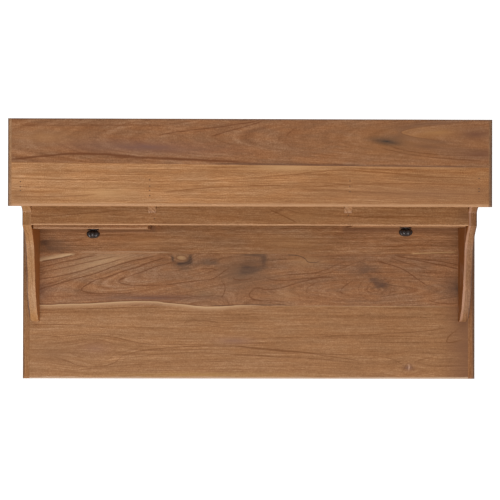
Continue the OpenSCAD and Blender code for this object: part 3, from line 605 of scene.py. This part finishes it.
rear_pale = ((-0.42, 0.0012), (-0.30, 0.0026), (-0.18, 0.0012))
rear_pale_end = ((0.39, 0.0000), (0.45, 0.0020), (0.51, 0.0042))
rear_plank = teak("rear_plank_teak", 11.3, rear_teak, lambda b: level(b, -0.006), None, (
    # Smoke near the left end, golden wood to the right of it, and shade painted under the drawers
    ((100, 70, 50), 0.65, lambda b: stain(b, ((-0.472, 0.016), (0.12, 0.060), 0))),
    ((80, 54, 40), 0.6, lambda b: stain(b, ((-0.4968, 0.0240), (0.040, 0.026), 0))),
    ((180, 128, 80), 0.5, lambda b: (spot(b, (-0.25, 0.025), (0.12, 0.04))
                                     + spot(b, (0.10, 0.025), (0.16, 0.04)))),
    ((112, 72, 44), 0.6, painted_shade_under_drawers),
    # Pale stretches of the front joint, and the browner right end
    ((186, 146, 112), 0.8, lambda b: stroke(b, rear_pale, 0.002, 0.003)),
    ((216, 172, 120), 0.5, lambda b: stroke(b, rear_pale_end, 0.003, 0.003)),
    ((110, 74, 48), 0.7, lambda b: spot(b, (0.53, 0.03), (0.10, 0.06))),
), contrast=1.3, drift=0.05, mottle=0.7)
dress(rear_plank, "desktop_plank_rear")
back_plank = teak("back_plank_teak", 5.2, front_teak, lambda b: level(b, 0.012))
dress(back_plank, "desktop_plank_back")

# Lippings. Strips of teak across both ends of the desktop and of the hutch's top board, tongued
# on to the planks, each with wood of its own and shade painted along its outer edge.
desk_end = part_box("desktop_end_right")[1].x


def facing_sideways(board):
    """1 on faces that look along the desk, to its left or right, and 0 on the others."""
    across = board.node("ShaderNodeTexCoord", {}, {}, out=1).split()[0]
    return abs(across).step(0.6, 0.95)


def painted_end_shade(board, start, full):
    """Painted shade near the desk's end, seen from above, with where it starts and is full."""
    u, v, w = board.split()
    return abs(v).step(desk_end - start, desk_end - full) * (1 - facing_sideways(board))


for end, seed, lip_teak, start, full in (("desktop_end_left", 2.4, (150, 101, 60), 0.0055, 0.0010),
                                         ("desktop_end_right", 8.3, (138, 87, 47), 0.0110, 0.0020),
                                         ("top_end_left", 3.8, (159, 114, 78), 0.0060, 0.0),
                                         ("top_end_right", 6.7, (143, 97, 62), 0.0110, 0.0020)):
    lipping = teak(f"{end}_teak", seed, lip_teak, level, None, (
        # Shade painted along the outer edge
        ((96, 72, 56), 0.8, lambda b: painted_end_shade(b, start, full)),
    ), along="y")
    dress(lipping, end)

# Top board of the hutch. Two planks with a slightly skewed glue line, a reddish flat-sawn one at
# the back and a straw-coloured one in front, nailed down into the uprights.
top_rear_teak = (148, 98, 63)
golden_tip = (0.341, 0.2750)
top_joint_dirt = ((-0.12, 0.2022), (0.10, 0.2003), (0.34, 0.1981), (0.54, 0.1963))
top_joint_pale = ((0.0, 0.1992), (0.30, 0.1965), (0.52, 0.1945))


def top_rear_field(board):
    """Arches that close far to the right, beyond the board's end."""
    return cathedral(board, (1.13, 0.262, 0.98), 0.066)


def top_rear_lines(board):
    """A long dark line on the left, two that meet the rear edge, and arches that point left."""
    drawn = strokes(
        board,
        (1.5, ((-0.56, 0.2090), (-0.4996, 0.2144), (-0.4543, 0.2189), (-0.4022, 0.2230), (-0.3523, 0.2228),
               (-0.2957, 0.2194), (-0.2390, 0.2155), (-0.1597, 0.2121), (0.03, 0.2035)), 0.002, 0.005),
        (1.0, ((-0.32, 0.2178), (-0.2277, 0.2144), (-0.1371, 0.2115), (-0.06, 0.2080)), 0.004, 0.004),
        (1.1, ((-0.222, 0.2610), (-0.1914, 0.2699), (-0.1371, 0.2778), (-0.0691, 0.2858),
               (-0.0124, 0.2948), (0.035, 0.3035))),
        (1.0, ((-0.092, 0.2630), (-0.0577, 0.2744), (-0.0124, 0.2869), (0.035, 0.3030))),
        (0.4, ((-0.084, 0.2640), (-0.06, 0.2500), (-0.01, 0.2440))),
        (0.8, ((0.31, 0.2450), (0.365, 0.2320), (0.44, 0.2243), (0.54, 0.2220))),
        (0.7, ((0.29, 0.2410), (0.40, 0.2200), (0.54, 0.2100))),
        (0.5, ((-0.53, 0.2880), (-0.35, 0.2890), (-0.18, 0.2860)), 0.002, 0.004))
    drawn = drawn + arch(board, (0.0785, 0.2563), -6, 0.014, 0.22, arm=-1) * 0.35
    drawn = drawn + arch(board, (0.0785, 0.2563), 6, 0.024, 0.05, arm=1) * 0.5
    return drawn + arch(board, golden_tip, 0, 0.0038, 0.16) * 0.5


top_rear = teak("top_rear_teak", 1.3, top_rear_teak, top_rear_field, top_rear_lines, (
    # The golden tongue on the right, with brown wood round it
    ((98, 68, 52), 0.9, lambda b: spot(b, (0.330, 0.2630), (0.060, 0.016), -4)),
    ((112, 72, 50), 1.2, lambda b: spot(b, (0.40, 0.243), (0.15, 0.018), -6)),
    ((170, 120, 72), 0.9, lambda b: spot(b, (0.42, 0.275), (0.100, 0.018))),
    ((174, 124, 80), 0.5, lambda b: arch(b, golden_tip, 0, 0.0045, 0.10, 0.004, 0.014)),
    ((100, 66, 50), 0.6, lambda b: arch(b, golden_tip, 0, 0.0045, 0.20, 0.003, -0.012)),
    ((112, 70, 48), 1.2, lambda b: (spot(b, (0.51, 0.271), (0.085, 0.026))
                                    + spot(b, (0.52, 0.226), (0.12, 0.026)))),
    # Greyer and paler wood on the left, a warmer right half
    ((122, 84, 70), 0.9, lambda b: spot(b, (-0.25, 0.240), (0.34, 0.03), -2)),
    ((164, 116, 74), 0.7, lambda b: spot(b, (-0.47, 0.262), (0.16, 0.035))),
    ((146, 98, 54), 0.5, lambda b: spot(b, (0.35, 0.250), (0.35, 0.1))),
    # The dark joint, and the black patch left of the tongue
    ((84, 52, 38), 0.6, lambda b: stroke(b, top_joint_dirt, 0.0025, 0.006)),
    ((52, 40, 31), 1.25, lambda b: spot(b, (0.310, 0.2540), (0.064, 0.0155), -8)),
), contrast=0.85, mottle=1.0, veins=0.1)
dress(top_rear, "top_plank_rear")

top_front_teak = (170, 117, 73)


def top_front_field(board):
    return level(board, 0.015) - spot(board, (0.16, 0.165), (0.4, 0.06)) * 0.016


def top_front_lines(board):
    return strokes(
        board,
        (1.0, ((-0.194, 0.1385), (-0.137, 0.1442), (-0.04, 0.1510), (0.08, 0.1530))),
        (0.8, ((-0.54, 0.1270), (-0.416, 0.1279), (-0.341, 0.1340))),
        (0.6, ((-0.53, 0.150), (-0.40, 0.146), (-0.28, 0.147))),
        (0.8, ((-0.012, 0.1545), (0.10, 0.1520), (0.214, 0.1520))),
        (0.8, ((-0.03, 0.1680), (0.062, 0.1752), (0.158, 0.1845), (0.214, 0.1884), (0.252, 0.1865),
               (0.328, 0.1809), (0.402, 0.1732), (0.53, 0.1732))),
        (0.8, ((0.15, 0.150), (0.34, 0.158), (0.53, 0.152))))


top_front = teak("top_front_teak", 9.4, top_front_teak, top_front_field, top_front_lines, (
    # Browner right half, straw-coloured wood by the joint and on the left, and a highlight painted on the
    # front edge
    ((140, 98, 68), 0.6, lambda b: spot(b, (0.40, 0.135), (0.5, 0.06))),
    ((196, 150, 102), 0.8, lambda b: (spot(b, (0.08, 0.194), (0.18, 0.018))
                                      + spot(b, (-0.33, 0.135), (0.13, 0.035)) * 0.8)),
    ((130, 90, 58), 0.5, lambda b: spot(b, (-0.53, 0.130), (0.05, 0.035))),
    ((192, 144, 100), 0.4, lambda b: stroke(b, top_joint_pale, 0.006, 0.001)),
    ((183, 136, 96), 0.8, lambda b: painted_edge_highlight(b, "top_plank_front", 0.0068)),
), contrast=1.05, drift=0.26, mottle=0.6)
dress(top_front, "top_plank_front")

# Hutch. Two scrolled sides stand on the desktop and carry a shelf, two low and two high dividers
# and a thin back panel, all of teak. The sides' inner faces have their shade and bounced light
# painted in, deeper and warmer than their fronts, whose outer edges have painted shade and whose
# inner edges are paler.
shelf_colour = (162, 110, 67)


def shelf_field(board):
    return level(board, 0.03) + bow(board, (0.081, 0.084), (0.05, 0.03), 0.012)


def shelf_lines(board):
    return strokes(
        board,
        (0.8, ((0.046, 0.1010), (0.0695, 0.0899), (0.0928, 0.0783), (0.110, 0.0690)), 0.0016, 0.004),
        (0.6, ((0.048, 0.0890), (0.0637, 0.0957), (0.080, 0.1000)), 0.0016, 0.004),
        (0.8, ((-0.53, 0.0830), (-0.40, 0.0900), (-0.28, 0.1010))),
        (0.6, ((0.20, 0.0880), (0.32, 0.0850), (0.46, 0.0900))))


shelf_teak = teak("shelf_teak", 4.8, shelf_colour, shelf_field, shelf_lines, (
    ((176, 124, 76), 0.5, lambda b: (spot(b, (0.12, 0.085), (0.16, 0.04))
                                     + spot(b, (-0.37, 0.085), (0.06, 0.03)))),
    ((118, 78, 48), 0.7, lambda b: spot(b, (0.51, 0.085), (0.07, 0.04))),
    # A highlight painted on the front edge
    ((206, 158, 116), 0.6, lambda b: painted_edge_highlight(b, "hutch_shelf", 0.0022)),
), contrast=1.0, mottle=0.5)
dress(shelf_teak, "hutch_shelf", "lower_divider_left", "lower_divider_right")

side_inner, side_outer = (corner.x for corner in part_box("hutch_side_right"))


def painted_inner_shade(board):
    """1 on the faces that look into the hutch, where their shade and bounced light are painted."""
    u, v, w = board.split()
    return 1 - abs(v).step(side_inner + 0.0001, side_inner + 0.0006)


def painted_outer_shade(board):
    """1 on the narrow front of a side towards its outer edge, where shade is painted, and 0 on its outer
    face.
    """
    u, v, w = board.split()
    return abs(v).step(side_outer - 0.003, side_outer - 0.001) * (1 - facing_sideways(board))


def inner_edge(board):
    """1 on the narrow front of a side near its inner edge, and 0 further out."""
    u, v, w = board.split()
    return 1 - abs(v).step(side_inner + 0.0045, side_inner + 0.0065)


for side, seed, side_colour, inner_shade_colour, inner_edge_share in (("left", 6.1, (163, 113, 67), (170, 105, 48), 0.1),
                                                    ("right", 7.4, (139, 93, 57), (140, 83, 33), 0.45)):
    side_teak = teak(f"side_teak_{side}", seed, side_colour, lambda b: level(b, 0.01, 0.1), None, (
        # Paler wood near the inner edge, shade painted along the outer edge, and shade and bounced light
        # painted over the inner faces
        ((196, 148, 122), inner_edge_share, inner_edge),
        ((90, 58, 40), 0.8, painted_outer_shade),
        (inner_shade_colour, 1.3, painted_inner_shade),
    ), along="y")
    dress(side_teak, f"hutch_side_{side}")
divider_teak = teak("divider_teak", 5.9, (156, 110, 74), level, along="y")
dress(divider_teak, "upper_divider_left", "upper_divider_right")
panel_teak = teak("panel_teak", 8.8, rear_teak, level)
dress(panel_teak, "hutch_back_panel")

# Underframe. Four tapered teak legs are tenoned to the aprons, and a centre rail joins these. The
# braces, tabletop buttons, drawer stops and dowels are of a plain pale hardwood.
leg_teak = teak("leg_teak", 2.2, front_teak, lambda b: level(b, 0.01), along="z")
dress(leg_teak, *(f"leg_{end}_{side}" for end in ("front", "back") for side in ("left", "right")))
apron_teak = teak("apron_teak", 3.9, front_teak, lambda b: level(b, 0.01))
dress(apron_teak, "apron_front", "apron_back")
end_apron_teak = teak("end_apron_teak", 1.7, front_teak, lambda b: level(b, 0.01), along="y")
dress(end_apron_teak, "apron_left", "apron_right", "centre_rail")
plain_colour = (186, 148, 108)
plain_wood = teak("plain_wood", 12.6, plain_colour, level, contrast=0.7)
dress(plain_wood, *(f"brace_{end}_{side}" for end in ("front", "back") for side in ("left", "right")),
      "tabletop_buttons", "drawer_stops", "hutch_dowels")

# Drawers. Teak fronts over sides, back and bottom of the pale hardwood. The left drawer stands a
# little open, and the top edge of its front has a painted highlight.
open_front, open_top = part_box("drawer_left_front")[0].y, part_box("drawer_left_front")[1].z


def painted_drawer_highlight(board):
    """The upper front edge of the drawer that stands open, where a highlight is painted."""
    u, v, w = board.split()
    return w.step(open_top - 0.003, open_top - 0.001) * (1 - v.step(open_front + 0.001, open_front + 0.003))


drawer_teak = teak("drawer_teak", 10.5, rear_teak, lambda b: level(b, 0.01), None, (
    # A highlight painted on the top edge of the open drawer's front
    ((196, 152, 116), 0.5, painted_drawer_highlight),
))
drawer_side_wood = teak("drawer_side_wood", 13.2, plain_colour, level, along="y", contrast=0.7)
for side in ("left", "right"):
    dress(drawer_teak, f"drawer_{side}_front")
    dress(drawer_side_wood, f"drawer_{side}_side_inner", f"drawer_{side}_side_outer")
    dress(plain_wood, f"drawer_{side}_back", f"drawer_{side}_bottom")


# Metal and plastic. Rusted nails, plated screws and moulded glides under the legs, each with a
# surface that wear has made uneven, and the blackened iron of the knobs.
def metal(name, colour, rough, metallic):
    made, shader, point = material(name)
    wear = point.noise((260, 260, 260), 4, 0.6)
    shader.inputs["Metallic"].default_value = metallic
    feed(shader, "Base Color", wear.ramp((0.35, tone(colour)), (0.7, tone(colour, 22))))
    feed(shader, "Roughness", rough + (wear - 0.5) * 0.2)
    bump(shader, wear, 0.15, 0.0002)
    return made


iron = metal("black_iron", (38, 28, 25), 0.32, 0.25)
old_nails = metal("rusted_nails", (84, 58, 40), 0.6, 0.3)
steel = metal("plated_steel", (180, 180, 176), 0.35, 1.0)
nylon = metal("black_nylon", (30, 30, 30), 0.5, 0.0)
dress(old_nails, "top_nails", "shelf_nails", "back_panel_pins")
dress(nylon, "foot_glides")
dress(steel, "brace_screws", "button_screws", "drawer_left_screw", "drawer_right_screw")

# Knobs. Blackened cast iron: a melon of six deep lobes on a round plate with a beaded rim. The
# lobes stand as each knob's screw drew tight. Shares run from the plate at 0 to the crown at 1.
knob_radius = 0.0165
knob_lobes = 6
lobe_centre = 0.64
neck_radius = 0.34
neck_end = 0.06
widest_at = 0.42
crown_radius = 0.0002
groove_start = 0.04
groove_full = 0.20
knob_steps = 96
knob_rings = 40
bead_count = 28
bead_radius = 0.0011


def lobed(angle):
    """Reach of the lobes' plan at an angle, as a share of the reach of their tips."""
    off = (angle + math.pi / knob_lobes) % (2 * math.pi / knob_lobes) - math.pi / knob_lobes
    lobe_radius = 1 - lobe_centre
    return lobe_centre * math.cos(off) + math.sqrt(lobe_radius ** 2 - (lobe_centre * math.sin(off)) ** 2)


def swell(share):
    """Radius of the head at a share of its length, as a share of its widest."""
    if share < neck_end:
        return neck_radius
    if share < widest_at:
        below = (widest_at - share) / (widest_at - neck_end)
        return neck_radius + (1 - neck_radius) * (1 - below ** 2) ** 0.5
    return max(0.0, 1 - ((share - widest_at) / (1 - widest_at)) ** 2.3) ** 0.45


def revolved(name, at, rings):
    """A closed mesh of rings of points about an axis that points forward."""
    verts, faces = [], []
    for depth, radii in rings:
        for i, radius in enumerate(radii):
            angle = 2 * math.pi * i / knob_steps
            verts.append((at[0] + radius * math.cos(angle), at[1] - depth, at[2] + radius * math.sin(angle)))
    for start in range(0, (len(rings) - 1) * knob_steps, knob_steps):
        for i in range(knob_steps):
            k = (i + 1) % knob_steps
            faces.append((start + i, start + k, start + knob_steps + k, start + knob_steps + i))
    faces.append(tuple(reversed(range(knob_steps))))
    faces.append(tuple(range(len(verts) - knob_steps, len(verts))))
    mesh = bpy.data.meshes.new(name)
    mesh.from_pydata(verts, [], faces)
    for face in mesh.polygons:
        face.use_smooth = True
    mesh.materials.append(iron)
    made = bpy.data.objects.new(name, mesh)
    bpy.context.scene.collection.objects.link(made)
    return made


for side, turn in (("left", 34), ("right", 0)):
    low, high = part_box(f"drawer_{side}_knob")
    plate_low, plate_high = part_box(f"drawer_{side}_rosette")
    middle_x, middle_z = (plate_low.x + plate_high.x) / 2, (plate_low.z + plate_high.z) / 2
    length = high.y - low.y
    lobes = [lobed(2 * math.pi * i / knob_steps - math.radians(turn)) for i in range(knob_steps)]
    rings = []
    for j in range(knob_rings + 1):
        share = 0.5 - 0.5 * math.cos(math.pi * j / knob_rings)
        groove = min(1.0, max(0.0, (share - groove_start) / (groove_full - groove_start)))
        radius = max(knob_radius * swell(share), crown_radius)
        rings.append((length * share, [radius * lobe ** groove for lobe in lobes]))
    head = revolved(f"knob_{side}_head", (middle_x, high.y, middle_z), rings)
    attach(head, f"drawer_{side}")
    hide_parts(f"drawer_{side}_knob")

    thick = plate_high.y - plate_low.y
    plate_radius = (plate_high.x - plate_low.x) / 2
    # Depth and radius, from the back of the plate over its rim and dish to its raised middle
    outline = ((0, plate_radius - 0.0006), (thick * 0.35, plate_radius - 0.0004),
               (thick * 0.6, plate_radius - 0.0016), (thick * 0.55, plate_radius - 0.0030),
               (thick, plate_radius - 0.0048), (thick, 0.004))
    plate = revolved(f"knob_{side}_plate", (middle_x, plate_high.y, middle_z),
                     [(depth, [radius] * knob_steps) for depth, radius in outline])
    shape = bmesh.new()
    shape.from_mesh(plate.data)
    bead_circle = plate_radius - bead_radius
    for i in range(bead_count):
        angle = 2 * math.pi * i / bead_count
        x, z = middle_x + bead_circle * math.cos(angle), middle_z + bead_circle * math.sin(angle)
        beads = bmesh.ops.create_icosphere(shape, subdivisions=2, radius=bead_radius)
        bmesh.ops.translate(shape, verts=beads["verts"], vec=(x, plate_low.y + bead_radius, z))
    for face in shape.faces:
        face.smooth = True
    shape.to_mesh(plate.data)
    shape.free()
    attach(plate, f"drawer_{side}")
    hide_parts(f"drawer_{side}_rosette")
